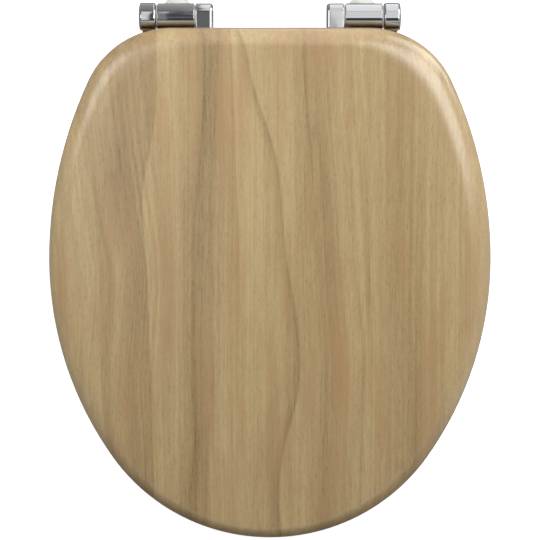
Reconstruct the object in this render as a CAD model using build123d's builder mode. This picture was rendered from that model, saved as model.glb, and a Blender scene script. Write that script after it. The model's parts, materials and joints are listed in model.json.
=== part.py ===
"""Toilet seat: wood-effect lid and ring on two soft-close barrel hinges.

Millimetres. The origin is midway between the two fixing studs, on the pan's top face.
+X is to the right seen from the front, +Y to the rear, +Z up. The seat is closed.
"""
import os
from math import asin, cos, degrees, radians, sin, tan

from build123d import *

os.makedirs("parts", exist_ok=True)

# Fixing to the pan
hole_spacing = 155.0
shank_radius = 4.0
shank_length = 28.0
thread_radius = 3.6
post_thread_length = 11.0
nut_thread_length = 34.0
thread_clearance = 0.05
stud_chamfer = 0.8
gasket_thickness = 1.5
gasket_hole_clearance = 0.5

# Lid outline and section
lid_width = 367.0
lid_length = 432.0
lid_thickness = 17.0
lid_rear_flat = 161.0
lid_widest = 196.0
lid_top_flat = 112.0
lid_edge_rear = 13.5
lid_edge_side = 19.0
lid_edge_front = 12.0
lid_edge_height = 11.5
lid_edge_steps = 9
lid_bottom_round = 4.5
edge_land = 0.5

# Where the long arcs down each side give way to the corner and nose arcs, in degrees
rear_turn = 25.0
front_turn = 34.5

# Ring outline, opening and section
ring_thickness = 18.0
ring_inset = 3.5
ring_rear_gap = 13.5
ring_top_round = 7.0
ring_bottom_round = 4.0
opening_width = 224.0
opening_length = 282.0
opening_rear_flat = 44.0
opening_widest = 128.0
front_rim = 60.0

# Bumpers
ring_bumper_height = 9.0
lid_gap = 6.0
lid_bumper_relief = 0.3
bumper_length = 26.0
bumper_width = 12.0
bumper_round = 2.5
spigot_radius = 2.5
spigot_length = 8.0
spigot_clearance = 0.1
ring_bumper_front_inset = 84.0
ring_bumper_rear_inset = 52.0
ring_bumper_end = 81.0
lid_bumper_inset = 65.5
lid_bumper_end = 118.5

# Hinge axis and knuckles
hinge_setback = 2.5
lid_rear_gap = 7.2
lid_rise = 9.5
knuckle_radius = 11.0
knuckle_length = 14.4
barrel_length = 30.5
knuckle_gap = 1.2
barrel_round = 0.6
cap_swell = 0.5
cap_dome = 1.0
cap_round = 2.0

# Leaves and their screws
leaf_thickness = 3.5
leaf_plate_width = 26.0
leaf_plate_length = 32.0
leaf_plate_start = 24.0
leaf_corner = 6.0
arm_slope = 6.0
arm_crown_round = 6.0
arm_nose_round = 3.2
arm_free_round = 3.0
arm_barrel_round = 0.8
ring_arm_inset = 2.5
ring_web_front = 10.0
ring_web_back = 4.0
ring_web_round = 3.0
screw_radius = 2.0
screw_head_radius = 3.8
screw_length = 13.0
screw_tip = 3.0
screw_clearance = 0.05
screw_edge = 8.0
screw_spread = 15.0

# Post that holds each barrel
foot_length = 28.0
foot_depth = 12.5
foot_height = 4.0
neck_length = 22.0
neck_depth = 11.5

# Damper cartridge in each barrel
cartridge_radius = 7.6
cartridge_clearance = 0.05
key_width = 3.0
key_height = 1.2
chamber_radius = 5.6
chamber_length = 16.5
cap_thickness = 4.0
rotor_radius = 3.3
rotor_clearance = 0.1
vane_width = 2.4
stator_width = 2.6
shaft_radius = 3.0
shaft_flat = 4.4
shaft_reach = 8.0
socket_spare = 0.8
pin_seat = 7.0
bearing_clearance = 0.05
seal_section = 0.6
seal_pocket = 1.5
spacer_radius = 9.5
spacer_thickness = 0.8
spacer_clearance = 0.4

# Clamp under the pan's deck
clamp_gap = 0.5
cone_height = 11.0
cone_top_radius = 7.0
cone_bottom_radius = 10.0
washer_radius = 12.0
washer_thickness = 2.0
nut_radius = 7.0
nut_height = 12.0
wing_span = 40.0
wing_height = 14.0
wing_thickness = 3.6
wing_round = 3.0

# Levels and lines worked out from the sizes above
ring_bottom = ring_bumper_height
ring_top = ring_bottom + ring_thickness
lid_bottom = ring_top + lid_gap
hinge_y = hinge_setback
hinge_z = lid_bottom - lid_rise
lid_rear = hinge_y - lid_rear_gap
lid_front = lid_rear - lid_length
lid_top = lid_bottom + lid_thickness
lid_fall = min(lid_edge_height, lid_thickness - lid_bottom_round - edge_land)
lid_shoulder = lid_top - lid_fall
ring_rear = hinge_y - ring_rear_gap
ring_front = lid_front + ring_inset
ring_width = lid_width - 2 * ring_inset
ring_widest = ring_rear - lid_rear + lid_widest
opening_front = ring_front + front_rim
opening_rear = opening_front + opening_length
knuckle_offset = barrel_length / 2 + knuckle_gap + knuckle_length / 2
plate_y = hinge_y - leaf_plate_start - leaf_plate_length / 2
arm_end = leaf_plate_start + leaf_corner
arm_start = knuckle_radius - arm_nose_round
arm_drop = 2 * knuckle_radius * tan(radians(arm_slope))
cap_radius = knuckle_radius + cap_swell
dome_radius = (cap_radius**2 + cap_dome**2) / (2 * cap_dome)
lid_head_level = lid_bottom - leaf_thickness
ring_head_level = ring_bottom - leaf_thickness
screw_depth = screw_length - leaf_thickness
shaft_end = barrel_length / 2 + knuckle_gap + shaft_reach
socket_depth = shaft_reach + socket_spare
chamber_end = barrel_length / 2 - cap_thickness
chamber_start = chamber_end - chamber_length
shank_end = -shank_length
cone_top = shank_end - clamp_gap
washer_top = cone_top - cone_height
nut_top = washer_top - washer_thickness

sides = {"left": -1, "right": 1}
ring_bumpers = {}
lid_bumpers = {}
for side, sign in sides.items():
    front_x = sign * (ring_width / 2 - ring_bumper_front_inset)
    rear_x = sign * (ring_width / 2 - ring_bumper_rear_inset)
    lid_x = sign * (lid_width / 2 - lid_bumper_inset)
    ring_bumpers[f"front_{side}"] = (front_x, ring_front + ring_bumper_end)
    ring_bumpers[f"rear_{side}"] = (rear_x, ring_rear - ring_bumper_end)
    lid_bumpers[side] = (lid_x, lid_front + lid_bumper_end)


def hinge_section(x):
    """Plane across a hinge at x, about its axis: local x runs forward, local y up."""
    return Plane(origin=(x, hinge_y, hinge_z), x_dir=(0, -1, 0), z_dir=(-1, 0, 0))


def upright(x, y, z=0.0):
    """Plane standing along X at a point: local x runs right, local y up."""
    return Plane(origin=(x, y, z), x_dir=(1, 0, 0), z_dir=(0, -1, 0))


def arc_pair(across, along, turn):
    """Radii of the tight and the long arc that together turn a quarter, tangent at an angle."""
    share = tan(radians(turn) / 2)
    tight = (across - along * share) / (1 - share)
    return tight, tight + (along - tight) / sin(radians(turn))


def seat_outline(width, rear, front, rear_flat, widest):
    """Draw a seat's outline: a straight rear edge, two arcs down each side and two to the nose."""
    half = width / 2
    flat = rear_flat / 2
    waist = rear - widest
    corner, side = arc_pair(half - flat, widest, rear_turn)
    nose, flank = arc_pair(half, waist - front, front_turn)
    Line((-flat, rear), (flat, rear))
    corner_arc = CenterArc((flat, rear - corner), corner, rear_turn, 90 - rear_turn)
    side_arc = CenterArc((half - side, waist), side, 0, rear_turn)
    flank_arc = CenterArc((half - flank, waist), flank, -front_turn, front_turn)
    CenterArc((0, front + nose), nose, front_turn - 180, 180 - 2 * front_turn)
    mirror([corner_arc, side_arc, flank_arc], about=Plane.YZ)


def leaf_screws(x):
    """Screw centres of a leaf whose plate lies along x: one behind, two in front."""
    rear_y = plate_y + leaf_plate_length / 2 - screw_edge
    front_y = plate_y - leaf_plate_length / 2 + screw_edge
    half = screw_spread / 2
    return [(x, rear_y), (x - half, front_y), (x + half, front_y)]


def knuckle_x(side, direction):
    """Centre of the knuckle that lies beside a barrel in the given direction along X."""
    return sides[side] * hole_spacing / 2 + direction * knuckle_offset


lid_leaf_x = {side: knuckle_x(side, -sign) for side, sign in sides.items()}
ring_leaf_x = {side: knuckle_x(side, sign) for side, sign in sides.items()}

# Lid: one shaped board, its top rounded over widely at the rear corners, with pilot holes below
with BuildPart() as lid:
    with BuildSketch(Plane.XY.offset(lid_bottom)):
        with BuildLine():
            seat_outline(lid_width, lid_rear, lid_front, lid_rear_flat, lid_widest)
        make_face()
    extrude(amount=lid_thickness - lid_fall)
    for step in range(lid_edge_steps + 1):
        turn = radians(90) * step / lid_edge_steps
        share = 1 - cos(turn)
        with BuildSketch(Plane.XY.offset(lid_shoulder + lid_fall * sin(turn))):
            with BuildLine():
                seat_outline(
                    lid_width - 2 * lid_edge_side * share,
                    lid_rear - lid_edge_rear * share,
                    lid_front + lid_edge_front * share,
                    lid_rear_flat - (lid_rear_flat - lid_top_flat) * share,
                    lid_widest - lid_edge_rear * share,
                )
            make_face()
    loft()
    fillet(lid.faces().sort_by(Axis.Z)[0].edges(), lid_bottom_round)
    with BuildSketch(Plane.XY.offset(lid_bottom)):
        with Locations(*[point for x in lid_leaf_x.values() for point in leaf_screws(x)]):
            Circle(screw_radius + screw_clearance)
    extrude(amount=screw_depth + screw_clearance, mode=Mode.SUBTRACT)
    with BuildSketch(Plane.XY.offset(lid_bottom)):
        with Locations(*lid_bumpers.values()):
            Circle(spigot_radius + spigot_clearance)
    extrude(amount=spigot_length + spigot_clearance, mode=Mode.SUBTRACT)
lid.part.label = "lid"
export_step(lid.part, "parts/lid.step")

# Ring: the board that is sat on, with its opening
with BuildPart() as seat_ring:
    with BuildSketch(Plane.XY.offset(ring_bottom)):
        with BuildLine():
            seat_outline(ring_width, ring_rear, ring_front, lid_rear_flat, ring_widest)
        make_face()
    extrude(amount=ring_thickness)
    with BuildSketch(Plane.XY.offset(ring_bottom)):
        with BuildLine():
            seat_outline(opening_width, opening_rear, opening_front, opening_rear_flat, opening_widest)
        make_face()
    extrude(amount=ring_thickness, mode=Mode.SUBTRACT)
    ring_round = min(ring_top_round, ring_thickness - ring_bottom_round - edge_land)
    fillet(seat_ring.faces().sort_by(Axis.Z)[-1].edges(), ring_round)
    fillet(seat_ring.faces().sort_by(Axis.Z)[0].edges(), ring_bottom_round)
    with BuildSketch(Plane.XY.offset(ring_bottom)):
        with Locations(*[point for x in ring_leaf_x.values() for point in leaf_screws(x)]):
            Circle(screw_radius + screw_clearance)
    extrude(amount=screw_depth + screw_clearance, mode=Mode.SUBTRACT)
    with BuildSketch(Plane.XY.offset(ring_bottom)):
        with Locations(*ring_bumpers.values()):
            Circle(spigot_radius + spigot_clearance)
    extrude(amount=spigot_length + spigot_clearance, mode=Mode.SUBTRACT)
seat_ring.part.label = "seat_ring"
export_step(seat_ring.part, "parts/seat_ring.step")

# Bumpers: a rounded pad on a spigot, pushed into the underside of the ring or the lid
bumper_rows = [(f"ring_bumper_{place}", point, ring_bottom, ring_bumper_height)
               for place, point in ring_bumpers.items()]
bumper_rows += [(f"lid_bumper_{place}", point, lid_bottom, lid_gap - lid_bumper_relief)
                for place, point in lid_bumpers.items()]
for name, (x, y), level, height in bumper_rows:
    with BuildPart() as bumper:
        with BuildSketch(Plane.XY.offset(level)):
            with Locations((x, y)):
                SlotOverall(bumper_length, bumper_width, rotation=90)
        extrude(amount=-height)
        fillet(bumper.faces().sort_by(Axis.Z)[0].edges(), bumper_round)
        with BuildSketch(Plane.XY.offset(level)):
            with Locations((x, y)):
                Circle(spigot_radius)
        extrude(amount=spigot_length)
    bumper.part.label = name
    export_step(bumper.part, f"parts/{name}.step")

for side, sign in sides.items():
    hinge_x = sign * hole_spacing / 2
    right_face = hinge_x + barrel_length / 2 + knuckle_gap
    left_face = hinge_x - barrel_length / 2 - knuckle_gap

    # Post: a barrel on an oblong foot, bored for the damper and tapped for the stud
    with BuildPart() as post:
        with BuildSketch(hinge_section(hinge_x)):
            Circle(knuckle_radius)
        extrude(amount=barrel_length / 2, both=True)
        fillet(post.faces().filter_by(Axis.X).edges(), barrel_round)
        with BuildSketch(Plane.XY.offset(gasket_thickness)):
            with Locations((hinge_x, 0)):
                SlotOverall(foot_length, foot_depth)
        extrude(amount=foot_height)
        with BuildSketch(Plane.XY.offset(gasket_thickness + foot_height)):
            with Locations((hinge_x, 0)):
                SlotOverall(neck_length, neck_depth)
        extrude(amount=hinge_z - gasket_thickness - foot_height)
        with BuildSketch(hinge_section(hinge_x)):
            Circle(cartridge_radius)
            with Locations((cartridge_radius, 0)):
                Rectangle(2 * key_height, key_width)
        extrude(amount=barrel_length / 2, both=True, mode=Mode.SUBTRACT)
        with BuildSketch(Plane.XY.offset(gasket_thickness)):
            with Locations((hinge_x, 0)):
                Circle(thread_radius + thread_clearance)
        extrude(amount=post_thread_length, mode=Mode.SUBTRACT)
    post.part.label = f"hinge_post_{side}"
    export_step(post.part, f"parts/hinge_post_{side}.step")

    # Lid leaf: inner knuckle, flat on top and well rounded on its free side, with an arm and a plate
    # that run on under the lid
    leaf_x = lid_leaf_x[side]
    with BuildPart() as lid_leaf:
        with BuildSketch(hinge_section(leaf_x)) as section:
            Circle(knuckle_radius)
            with Locations((knuckle_radius / 2, lid_rise / 2)):
                Rectangle(knuckle_radius, lid_rise)
            with BuildLine():
                Polyline((knuckle_radius, lid_rise), (-knuckle_radius, lid_rise - arm_drop),
                         (-knuckle_radius, 2 * knuckle_radius), (knuckle_radius, 2 * knuckle_radius),
                         close=True)
            make_face(mode=Mode.SUBTRACT)
            fillet(section.vertices().sort_by_distance((knuckle_radius, lid_rise))[0], arm_nose_round)
            fillet(section.vertices().sort_by_distance((-knuckle_radius, lid_rise))[0], arm_crown_round)
        extrude(amount=knuckle_length / 2, both=True)
        inward = Axis((0, 0, 0), (-sign, 0, 0))
        fillet(lid_leaf.faces().filter_by(Axis.X).sort_by(inward)[-1].edges(), arm_free_round)
        fillet(lid_leaf.faces().filter_by(Axis.X).sort_by(inward)[0].edges(), arm_barrel_round)
        with BuildSketch(hinge_section(leaf_x)):
            with Locations(((arm_start + arm_end) / 2, lid_rise - leaf_thickness / 2)):
                Rectangle(arm_end - arm_start, leaf_thickness)
        extrude(amount=knuckle_length / 2 - arm_free_round, both=True)
        with BuildSketch(Plane.XY.offset(lid_head_level)):
            with Locations((leaf_x, plate_y)):
                RectangleRounded(leaf_plate_width, leaf_plate_length, leaf_corner)
        extrude(amount=leaf_thickness)
        with Locations(*[Plane((x, y, lid_head_level), z_dir=(0, 0, -1)) for x, y in leaf_screws(leaf_x)]):
            CounterSinkHole(screw_radius + screw_clearance, screw_head_radius + screw_clearance,
                            counter_sink_angle=90)
        if sign < 0:
            with BuildSketch(hinge_section(right_face)):
                Circle(shaft_radius + bearing_clearance)
                Rectangle(2 * shaft_radius, shaft_flat + 2 * bearing_clearance, mode=Mode.INTERSECT)
            extrude(amount=-socket_depth, mode=Mode.SUBTRACT)
        else:
            with BuildSketch(hinge_section(left_face)):
                Circle(shaft_radius + bearing_clearance)
            extrude(amount=socket_depth, mode=Mode.SUBTRACT)
    lid_leaf.part.label = f"lid_leaf_{side}"
    export_step(lid_leaf.part, f"parts/lid_leaf_{side}.step")

    # Ring leaf: outer knuckle, a little larger than the barrel and domed at its free end, on a web that
    # drops to the plate under the ring
    leaf_x = ring_leaf_x[side]
    plate_top = ring_bottom - hinge_z
    plate_bottom = plate_top - leaf_thickness
    with BuildPart() as ring_leaf:
        with BuildSketch(Plane(origin=(leaf_x, hinge_y, hinge_z), x_dir=(sign, 0, 0), z_dir=(0, -sign, 0))):
            with BuildLine():
                dome = CenterArc((knuckle_length / 2 - dome_radius, 0), dome_radius, 0,
                                 degrees(asin(cap_radius / dome_radius)))
                Polyline(dome @ 1, (-knuckle_length / 2, cap_radius), (-knuckle_length / 2, 0), dome @ 0)
            make_face()
        revolve(axis=Axis((leaf_x, hinge_y, hinge_z), (1, 0, 0)))
        fillet(ring_leaf.edges().group_by(SortBy.LENGTH)[-1], cap_round)
        with BuildSketch(hinge_section(leaf_x)) as web:
            with BuildLine():
                Polyline((-ring_web_back, 0), (-ring_web_back, plate_bottom), (arm_end, plate_bottom),
                         (arm_end, plate_top), (ring_web_front, plate_top), (ring_web_front, 0), close=True)
            make_face()
            fillet(web.vertices().group_by(Axis.X)[0].sort_by(Axis.Y)[0], ring_web_round)
        extrude(amount=knuckle_length / 2 - ring_arm_inset, both=True)
        with BuildSketch(Plane.XY.offset(ring_head_level)):
            with Locations((leaf_x, plate_y)):
                RectangleRounded(leaf_plate_width, leaf_plate_length, leaf_corner)
        extrude(amount=leaf_thickness)
        with Locations(*[Plane((x, y, ring_head_level), z_dir=(0, 0, -1)) for x, y in leaf_screws(leaf_x)]):
            CounterSinkHole(screw_radius + screw_clearance, screw_head_radius + screw_clearance,
                            counter_sink_angle=90)
        if sign > 0:
            with BuildSketch(hinge_section(right_face)):
                Circle(shaft_radius + bearing_clearance)
                Rectangle(2 * shaft_radius, shaft_flat + 2 * bearing_clearance, mode=Mode.INTERSECT)
            extrude(amount=-socket_depth, mode=Mode.SUBTRACT)
        else:
            with BuildSketch(hinge_section(left_face)):
                Circle(shaft_radius + bearing_clearance)
            extrude(amount=socket_depth, mode=Mode.SUBTRACT)
    ring_leaf.part.label = f"ring_leaf_{side}"
    export_step(ring_leaf.part, f"parts/ring_leaf_{side}.step")

    # Leaf screws: countersunk heads flush with the plate's underside
    for board, leaf_x, level in (("lid", lid_leaf_x[side], lid_head_level),
                                 ("ring", ring_leaf_x[side], ring_head_level)):
        with BuildPart() as screws:
            for x, y in leaf_screws(leaf_x):
                with BuildSketch(upright(x, y, level)):
                    with BuildLine():
                        Polyline((0, 0), (screw_head_radius, 0),
                                 (screw_radius, screw_head_radius - screw_radius),
                                 (screw_radius, screw_length - screw_tip), (0, screw_length), close=True)
                    make_face()
                revolve(axis=Axis((x, y, level), (0, 0, 1)))
        screws.part.label = f"{board}_leaf_screws_{side}"
        export_step(screws.part, f"parts/{board}_leaf_screws_{side}.step")

    # Damper housing: keyed in the barrel, with a chamber, one stator rib and a pin seat
    with BuildPart() as housing:
        with BuildSketch(hinge_section(hinge_x)):
            Circle(cartridge_radius - cartridge_clearance)
            with Locations((cartridge_radius, 0)):
                Rectangle(2 * key_height - 4 * cartridge_clearance, key_width - 2 * cartridge_clearance)
        extrude(amount=barrel_length / 2, both=True)
        with BuildSketch(hinge_section(hinge_x + chamber_start)):
            Circle(chamber_radius)
            with Locations((0, -rotor_radius - rotor_clearance - chamber_radius / 2)):
                Rectangle(stator_width, chamber_radius, mode=Mode.SUBTRACT)
        extrude(amount=-chamber_length, mode=Mode.SUBTRACT)
        with BuildSketch(hinge_section(hinge_x + chamber_end)):
            Circle(chamber_radius)
        extrude(amount=-cap_thickness, mode=Mode.SUBTRACT)
        with BuildSketch(hinge_section(hinge_x - barrel_length / 2)):
            Circle(shaft_radius + bearing_clearance)
        extrude(amount=-pin_seat, mode=Mode.SUBTRACT)
    housing.part.label = f"damper_housing_{side}"
    export_step(housing.part, f"parts/damper_housing_{side}.step")

    # Damper rotor: a core with one vane, and a shaft with two flats that turns its leaf
    with BuildPart() as rotor:
        with BuildSketch(hinge_section(hinge_x + chamber_start + rotor_clearance)):
            with Locations((chamber_radius / 2, 0)):
                Rectangle(chamber_radius, vane_width)
            Circle(chamber_radius - rotor_clearance, mode=Mode.INTERSECT)
            Circle(rotor_radius)
        extrude(amount=-(chamber_length - 2 * rotor_clearance))
        with BuildSketch(hinge_section(hinge_x + chamber_start + rotor_clearance)):
            Circle(shaft_radius)
        extrude(amount=-(barrel_length / 2 - chamber_start - rotor_clearance))
        with BuildSketch(hinge_section(hinge_x + barrel_length / 2)):
            Circle(shaft_radius)
            Rectangle(2 * shaft_radius, shaft_flat, mode=Mode.INTERSECT)
        extrude(amount=-(shaft_end - barrel_length / 2))
    rotor.part.label = f"damper_rotor_{side}"
    export_step(rotor.part, f"parts/damper_rotor_{side}.step")

    # Damper cap: closes the chamber round the shaft, with a pocket for the seal
    with BuildPart() as cap:
        with BuildSketch(hinge_section(hinge_x + chamber_end)):
            Circle(chamber_radius - cartridge_clearance)
            Circle(shaft_radius + bearing_clearance, mode=Mode.SUBTRACT)
        extrude(amount=-cap_thickness)
        with BuildSketch(hinge_section(hinge_x + chamber_end)):
            Circle(shaft_radius + 2 * seal_section + 2 * bearing_clearance)
            Circle(shaft_radius, mode=Mode.SUBTRACT)
        extrude(amount=-seal_pocket, mode=Mode.SUBTRACT)
    cap.part.label = f"damper_cap_{side}"
    export_step(cap.part, f"parts/damper_cap_{side}.step")

    # Damper seal: a ring of round section on the shaft, in the cap's pocket
    with BuildPart() as seal:
        with BuildSketch(upright(hinge_x + chamber_end + seal_pocket / 2, hinge_y, hinge_z)):
            with Locations((0, shaft_radius + bearing_clearance + seal_section)):
                Circle(seal_section)
        revolve(axis=Axis((hinge_x, hinge_y, hinge_z), (1, 0, 0)))
    seal.part.label = f"damper_seal_{side}"
    export_step(seal.part, f"parts/damper_seal_{side}.step")

    # Pivot pin: seated in the housing's closed end, and turned on by the other leaf
    with BuildPart() as pin:
        with BuildSketch(hinge_section(hinge_x - shaft_end)):
            Circle(shaft_radius)
        extrude(amount=-(shaft_end - barrel_length / 2 + pin_seat))
    pin.part.label = f"pivot_pin_{side}"
    export_step(pin.part, f"parts/pivot_pin_{side}.step")

    # Spacers: thin washers that keep the knuckles off the barrel
    for place, direction in (("inner", -sign), ("outer", sign)):
        gap_x = hinge_x + direction * (barrel_length + knuckle_gap) / 2
        with BuildPart() as spacer:
            with BuildSketch(hinge_section(gap_x)):
                Circle(spacer_radius)
                Circle(shaft_radius + spacer_clearance, mode=Mode.SUBTRACT)
            extrude(amount=spacer_thickness / 2, both=True)
        spacer.part.label = f"spacer_{place}_{side}"
        export_step(spacer.part, f"parts/spacer_{place}_{side}.step")

    # Foot gasket: between the post and the pan
    with BuildPart() as gasket:
        with BuildSketch():
            with Locations((hinge_x, 0)):
                SlotOverall(foot_length, foot_depth)
                Circle(shank_radius + gasket_hole_clearance, mode=Mode.SUBTRACT)
        extrude(amount=gasket_thickness)
    gasket.part.label = f"foot_gasket_{side}"
    export_step(gasket.part, f"parts/foot_gasket_{side}.step")

    # Fixing stud: plain shank through the pan's deck, threaded at both ends
    stud_foot = shank_end - nut_thread_length
    stud_head = gasket_thickness + post_thread_length - thread_clearance
    with BuildPart() as stud:
        with BuildSketch(upright(hinge_x, 0)):
            with BuildLine():
                Polyline((0, stud_foot), (thread_radius - stud_chamfer, stud_foot),
                         (thread_radius, stud_foot + stud_chamfer), (thread_radius, shank_end),
                         (shank_radius, shank_end), (shank_radius, 0), (thread_radius, 0),
                         (thread_radius, stud_head), (0, stud_head), close=True)
            make_face()
        revolve(axis=Axis((hinge_x, 0, 0), (0, 0, 1)))
    stud.part.label = f"fixing_stud_{side}"
    export_step(stud.part, f"parts/fixing_stud_{side}.step")

    # Cone: a soft bush that centres the stud in the pan's hole from below
    bush_radius = thread_radius + thread_clearance
    with BuildPart() as cone:
        with BuildSketch(upright(hinge_x, 0, washer_top)):
            with BuildLine():
                Polyline((bush_radius, 0), (cone_bottom_radius, 0), (cone_top_radius, cone_height),
                         (bush_radius, cone_height), close=True)
            make_face()
        revolve(axis=Axis((hinge_x, 0, 0), (0, 0, 1)))
    cone.part.label = f"cone_bush_{side}"
    export_step(cone.part, f"parts/cone_bush_{side}.step")

    # Washer: spreads the nut's load over the cone
    with BuildPart() as washer:
        with BuildSketch(Plane.XY.offset(nut_top)):
            with Locations((hinge_x, 0)):
                Circle(washer_radius)
                Circle(bush_radius, mode=Mode.SUBTRACT)
        extrude(amount=washer_thickness)
    washer.part.label = f"clamp_washer_{side}"
    export_step(washer.part, f"parts/clamp_washer_{side}.step")

    # Wing nut: a round hub with two flat wings that rise away from the washer
    with BuildPart() as nut:
        with BuildSketch(upright(hinge_x, 0, nut_top)) as wings:
            with BuildLine():
                Polyline((-nut_radius, 0), (nut_radius, 0), (wing_span / 2, -wing_height / 2),
                         (wing_span / 2, -wing_height), (nut_radius, -nut_height),
                         (-nut_radius, -nut_height), (-wing_span / 2, -wing_height),
                         (-wing_span / 2, -wing_height / 2), close=True)
            make_face()
            ends = wings.vertices().group_by(Axis.X)
            fillet(ends[0] + ends[-1], wing_round)
        extrude(amount=wing_thickness / 2, both=True)
        with BuildSketch(Plane.XY.offset(nut_top)):
            with Locations((hinge_x, 0)):
                Circle(nut_radius)
        extrude(amount=-nut_height)
        with BuildSketch(Plane.XY.offset(nut_top)):
            with Locations((hinge_x, 0)):
                Circle(bush_radius)
        extrude(amount=-max(nut_height, wing_height), mode=Mode.SUBTRACT)
    nut.part.label = f"wing_nut_{side}"
    export_step(nut.part, f"parts/wing_nut_{side}.step")
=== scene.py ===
import json
from math import atan2, cos, pi, radians, sin, sqrt, tan

import bmesh
import bpy
from bpy.props import FloatProperty, FloatVectorProperty, PointerProperty
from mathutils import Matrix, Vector

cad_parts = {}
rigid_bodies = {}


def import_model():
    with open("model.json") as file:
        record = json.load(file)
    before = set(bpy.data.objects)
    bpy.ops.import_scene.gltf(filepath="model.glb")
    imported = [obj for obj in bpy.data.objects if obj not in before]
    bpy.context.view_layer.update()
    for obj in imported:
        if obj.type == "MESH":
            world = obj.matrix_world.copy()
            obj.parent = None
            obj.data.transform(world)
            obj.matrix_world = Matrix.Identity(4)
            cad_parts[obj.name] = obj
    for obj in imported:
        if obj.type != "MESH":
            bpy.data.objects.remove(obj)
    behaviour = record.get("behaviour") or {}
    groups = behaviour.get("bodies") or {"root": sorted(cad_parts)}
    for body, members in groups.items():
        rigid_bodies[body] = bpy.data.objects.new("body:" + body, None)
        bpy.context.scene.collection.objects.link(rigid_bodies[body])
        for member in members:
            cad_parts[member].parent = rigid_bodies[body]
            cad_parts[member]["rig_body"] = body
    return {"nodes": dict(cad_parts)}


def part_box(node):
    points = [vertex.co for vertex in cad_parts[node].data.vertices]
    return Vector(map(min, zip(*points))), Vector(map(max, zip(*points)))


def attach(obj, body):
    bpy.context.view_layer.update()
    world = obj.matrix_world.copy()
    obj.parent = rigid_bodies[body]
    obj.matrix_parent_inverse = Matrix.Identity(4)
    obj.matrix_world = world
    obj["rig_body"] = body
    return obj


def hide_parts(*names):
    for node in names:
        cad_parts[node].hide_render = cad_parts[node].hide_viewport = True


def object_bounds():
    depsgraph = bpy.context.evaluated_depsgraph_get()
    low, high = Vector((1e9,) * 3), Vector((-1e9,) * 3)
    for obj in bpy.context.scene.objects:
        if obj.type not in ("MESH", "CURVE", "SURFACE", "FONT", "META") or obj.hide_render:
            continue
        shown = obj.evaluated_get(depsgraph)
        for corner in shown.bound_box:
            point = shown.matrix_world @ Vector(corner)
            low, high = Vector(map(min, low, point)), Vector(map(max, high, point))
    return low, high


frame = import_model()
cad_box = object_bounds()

bl_info = {
    "name": "Toilet Seat",
    "version": (1, 0, 0),
    "blender": (4, 5, 0),
    "location": "3D View > Sidebar > Seat",
    "description": "Dresses a wood-decor toilet seat with soft-close barrel hinges on its CAD frame",
    "category": "Add Mesh",
}

SIDES = {"left": -1, "right": 1}

# Small lengths in metres that pieces share
FINE_EASE = 0.0002
EASE = 0.0003
PLATE_EASE = 0.0007
CAST_EASE = 0.0009
HAIR = 0.0001  # radius where a turned form closes, and the least step
PAST = 0.001  # how far a cutter reaches past what it cuts
STRIP = 0.002  # flat beside a board's rounded edge, so that the flat's shading stays flat
SHARP = radians(38)  # edges that turn further stay sharp

# A bumper's faint crown: inset past its round, and height over its lowest point
PAD_CROWN = ((0.0024, 0), (0.0012, 0.0001))
# A post's foot and its sweep into the neck: share of the overhang, and height over the foot's underside
# or its top
FOOT_EDGE = ((0.98, 0), (1, 0.0003))
FOOT_SWEEP = ((1, -0.0009), (0.95, -0.0004), (0.86, -0.0001), (0.7, 0), (0.3, 0.0001), (0.1, 0.0005),
              (0, 0.0014))
NECK_END = 0.004  # below the hinge axis, inside the barrel
WEB_FILLET = 0.001  # between a ring arm and its web
# A screw's cross recess from the bottom up: share of its reach, and of its depth
RECESS = ((0.01, 1.0), (0.45, 0.72), (0.82, 0.6), (1.0, 0.0))
SCREW_TURNS = (0.4, 1.5, 2.6)  # where a leaf's screws came to rest, in radians
SCREW_POINT = 0.75  # share of a screw's length where its point starts
# A stud's tip: how far below the thread's root it starts, and its radius gained per rise
TIP_SINK, TIP_SLOPE = 0.0008, 0.9
THREAD_FLAT = 0.1  # of crest and of root, as a share of the pitch
# A cone bush's lower and upper edge: step from its radius there, and height over its underside or top
CONE_FOOT = ((-0.0006, 0), (-0.0001, 0.0003), (-0.0002, 0.001))
CONE_RIM = ((0.0002, -0.0008), (-0.0002, -0.0002), (-0.0008, 0))
WASHER_EASE, NUT_EASE = 0.0005, 0.0006
# Where a nut's wing starts: depth inside the hub, and gap to the hub's ends
WING_ROOT, WING_GAP = 0.002, 0.0008

# The wood print in mm: the length and width that its curves cover, how soft a ring's edge is, and how
# its tone builds up towards the edge, as shares of the way and of the tone
PRINT_LENGTH = 440
PRINT_WIDTH = 380
RING_SOFT = 0.2
RING_FADE = ((0.4, 0.25), (0.7, 0.59))
RING_RANGE = 64  # tone steps from dark to light

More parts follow.
